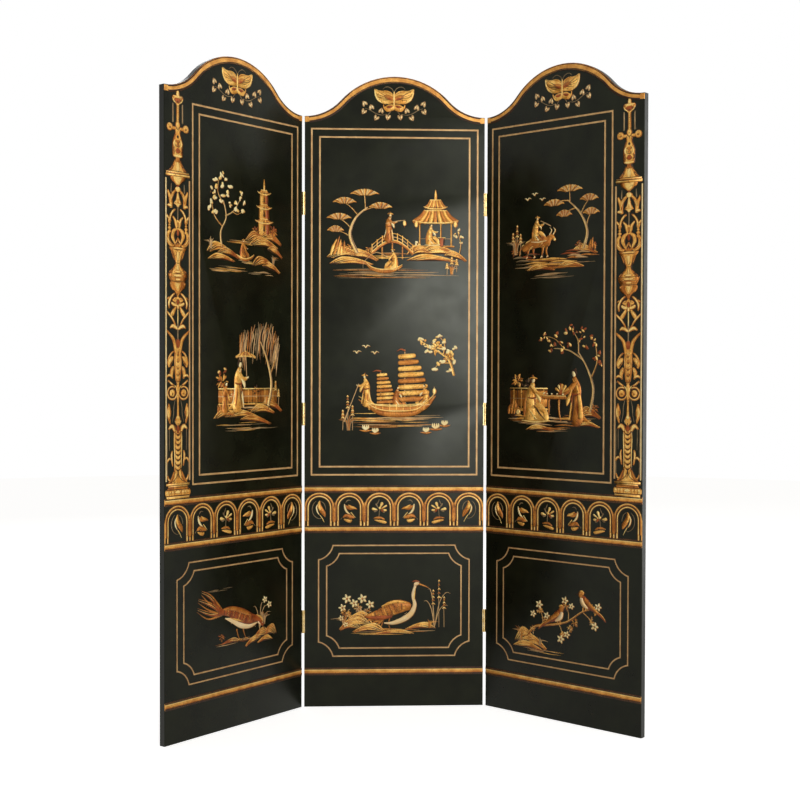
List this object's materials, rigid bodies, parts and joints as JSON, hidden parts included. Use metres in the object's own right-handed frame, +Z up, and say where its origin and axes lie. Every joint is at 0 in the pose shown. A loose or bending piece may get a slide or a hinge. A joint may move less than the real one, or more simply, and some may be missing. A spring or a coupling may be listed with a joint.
{
  "type": "three-leaf folding screen",
  "caption": "Free-standing folding screen of tall lacquered leaves with serpentine crests, raised gilt bands, arcade and line panels, joined by double-action brass hinges.",
  "frame": {"origin": "middle of the centre leaf's bottom edge, halfway through its thickness, on the floor", "axes": "+Z up, -Y out of the gilt side towards the viewer, +X to the viewer's right"},
  "size_m": [1.2837, 0.4182, 1.83],
  "materials": {
    "black_lacquer": "satin black lacquer over wood, with a green-brown cast",
    "inner_wood": "bare glued softwood",
    "gilding": "satin gilt over raised gesso",
    "brass": "polished brass"
  },
  "bodies": {
    "centre_leaf": {"centre_left_stile": "black_lacquer", "centre_right_stile": "black_lacquer", "centre_crest_rail": "black_lacquer", "centre_middle_rail": "inner_wood", "centre_frieze_rail": "inner_wood", "centre_foot_rail": "inner_wood", "centre_front_skin": "black_lacquer", "centre_back_skin": "black_lacquer", "centre_gilt_bands": "gilding", "centre_gilt_arcade": "gilding", "centre_gilt_lines": "gilding", "left_bottom_centre_plate": "brass", "left_middle_centre_plate": "brass", "left_top_centre_plate": "brass", "left_front_pins": "brass", "left_centre_screws": "brass", "right_bottom_centre_plate": "brass", "right_middle_centre_plate": "brass", "right_top_centre_plate": "brass", "right_front_pins": "brass", "right_centre_screws": "brass"},
    "left_link": {"left_bottom_link": "brass", "left_middle_link": "brass", "left_top_link": "brass"},
    "left_leaf": {"left_outer_stile": "black_lacquer", "left_inner_stile": "black_lacquer", "left_crest_rail": "black_lacquer", "left_middle_rail": "inner_wood", "left_frieze_rail": "inner_wood", "left_foot_rail": "inner_wood", "left_front_skin": "black_lacquer", "left_back_skin": "black_lacquer", "left_gilt_bands": "gilding", "left_gilt_arcade": "gilding", "left_gilt_lines": "gilding", "left_bottom_leaf_plate": "brass", "left_middle_leaf_plate": "brass", "left_top_leaf_plate": "brass", "left_back_pins": "brass", "left_leaf_screws": "brass"},
    "right_link": {"right_bottom_link": "brass", "right_middle_link": "brass", "right_top_link": "brass"},
    "right_leaf": {"right_outer_stile": "black_lacquer", "right_inner_stile": "black_lacquer", "right_crest_rail": "black_lacquer", "right_middle_rail": "inner_wood", "right_frieze_rail": "inner_wood", "right_foot_rail": "inner_wood", "right_front_skin": "black_lacquer", "right_back_skin": "black_lacquer", "right_gilt_bands": "gilding", "right_gilt_arcade": "gilding", "right_gilt_lines": "gilding", "right_bottom_leaf_plate": "brass", "right_middle_leaf_plate": "brass", "right_top_leaf_plate": "brass", "right_back_pins": "brass", "right_leaf_screws": "brass"}
  },
  "joints": [
    {"name": "left_front_fold", "type": "hinge", "parent": "centre_leaf", "child": "left_link", "pos_m": [-0.2645, -0.0115, 0.855], "axis": [0, 0, 1], "range_deg": [-49, 131]},
    {"name": "left_back_fold", "type": "hinge", "parent": "left_link", "child": "left_leaf", "pos_m": [-0.28186, 0.00359, 0.855], "axis": [0, 0, 1], "range_deg": [-90, 0]},
    {"name": "right_front_fold", "type": "hinge", "parent": "centre_leaf", "child": "right_link", "pos_m": [0.2645, -0.0115, 0.855], "axis": [0, 0, -1], "range_deg": [-44, 46]},
    {"name": "right_back_fold", "type": "hinge", "parent": "right_link", "child": "right_leaf", "pos_m": [0.28048, 0.00504, 0.855], "axis": [0, 0, -1], "range_deg": [-180, 0]}
  ]
}
